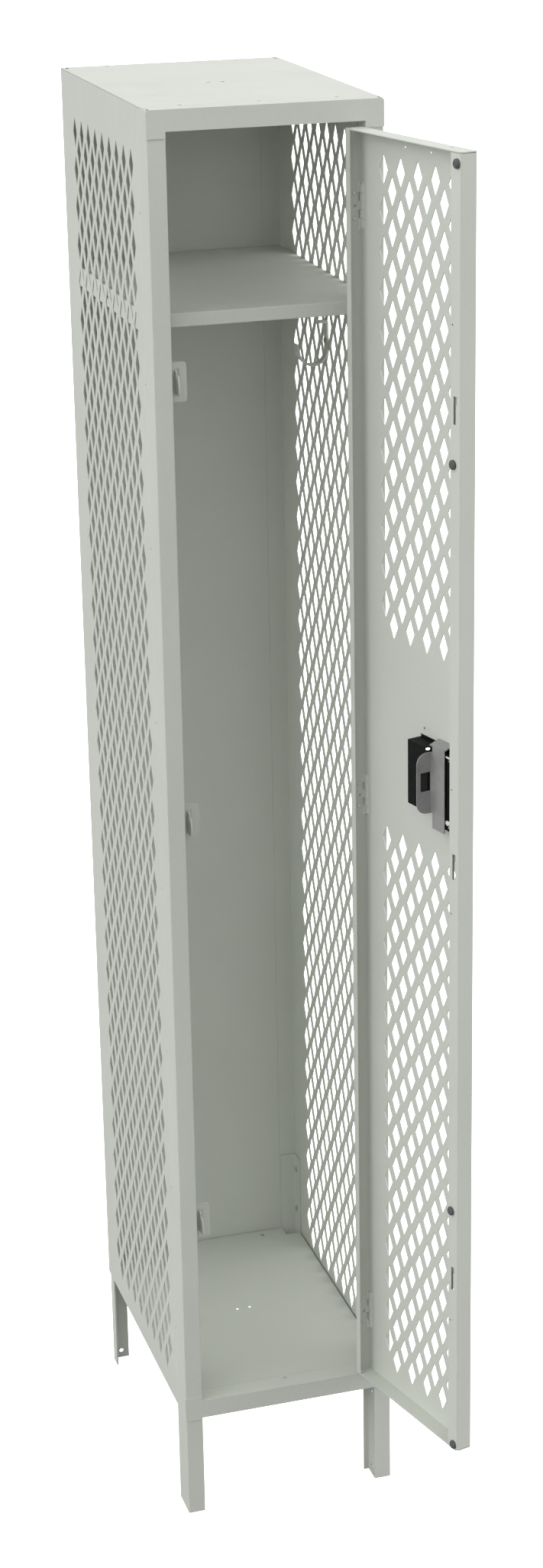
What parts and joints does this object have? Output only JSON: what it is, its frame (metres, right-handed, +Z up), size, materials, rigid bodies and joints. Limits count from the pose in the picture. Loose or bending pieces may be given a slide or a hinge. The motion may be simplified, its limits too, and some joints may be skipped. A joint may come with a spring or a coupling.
{
  "type": "locker cabinet",
  "caption": "Tall narrow ventilated sheet-steel locker on legs, with hat shelf, coat hook and a door that latches at three places.",
  "frame": {"origin": "on the floor, at the middle of the box that holds the cabinet and its open door", "axes": "+X to the right seen from the front, +Y to the back, +Z up; the door stands open at rest"},
  "size_m": [0.3432, 0.7046, 1.9812],
  "materials": {
    "grey_paint": "satin light grey-green enamel with a fine orange peel",
    "zinc_steel": "dull zinc-plated steel",
    "black_plastic": "matt black",
    "dark_rubber": "matt dark grey",
    "white_nylon": "natural nylon"
  },
  "bodies": {
    "cabinet": {"left_upright": "grey_paint", "right_upright": "grey_paint", "header": "grey_paint", "sill": "grey_paint", "left_side_panel": "grey_paint", "right_side_panel": "grey_paint", "back_panel": "grey_paint", "top_panel": "grey_paint", "bottom_panel": "grey_paint", "hat_shelf": "grey_paint", "rear_left_leg": "grey_paint", "rear_right_leg": "grey_paint", "leg_bolt_left_low": "zinc_steel", "leg_bolt_left_high": "zinc_steel", "leg_bolt_right_low": "zinc_steel", "leg_bolt_right_high": "zinc_steel", "shelf_bolt_left_front": "zinc_steel", "shelf_bolt_left_rear": "zinc_steel", "shelf_bolt_right_front": "zinc_steel", "shelf_bolt_right_rear": "zinc_steel", "coat_hook": "grey_paint", "coat_hook_bolt": "zinc_steel", "upper_strike_hook": "grey_paint", "middle_strike_hook": "grey_paint", "lower_strike_hook": "grey_paint", "upper_hinge_frame_leaf": "grey_paint", "middle_hinge_frame_leaf": "grey_paint", "lower_hinge_frame_leaf": "grey_paint", "upper_hinge_pin": "grey_paint", "middle_hinge_pin": "grey_paint", "lower_hinge_pin": "grey_paint"},
    "door": {"door_pan": "grey_paint", "upper_hinge_door_leaf": "grey_paint", "middle_hinge_door_leaf": "grey_paint", "lower_hinge_door_leaf": "grey_paint", "top_bumper": "dark_rubber", "high_bumper": "dark_rubber", "low_bumper": "dark_rubber", "bottom_bumper": "dark_rubber", "top_bar_guide": "white_nylon", "high_bar_guide": "white_nylon", "low_bar_guide": "white_nylon", "bottom_bar_guide": "white_nylon", "latch_pocket": "black_plastic", "padlock_hasp": "zinc_steel"},
    "lifter": {"lift_bracket": "zinc_steel", "lift_handle": "zinc_steel"},
    "bar": {"latch_bar": "zinc_steel"}
  },
  "joints": [
    {"name": "door_hinge", "type": "hinge", "parent": "cabinet", "child": "door", "pos_m": [0.10505, -0.10418, 1.0645], "axis": [0, 0, 1], "range_deg": [-104.56, 25]},
    {"name": "latch_lift", "type": "slide", "parent": "door", "child": "lifter", "axis": [0, 0, 1], "range_m": [0, 0.012]},
    {"name": "bar_slide", "type": "slide", "parent": "door", "child": "bar", "axis": [0, 0, 1], "range_m": [0, 0.012]}
  ],
  "couplings": [
    {"joint": "bar_slide", "follows": "latch_lift", "ratio": 1}
  ]
}
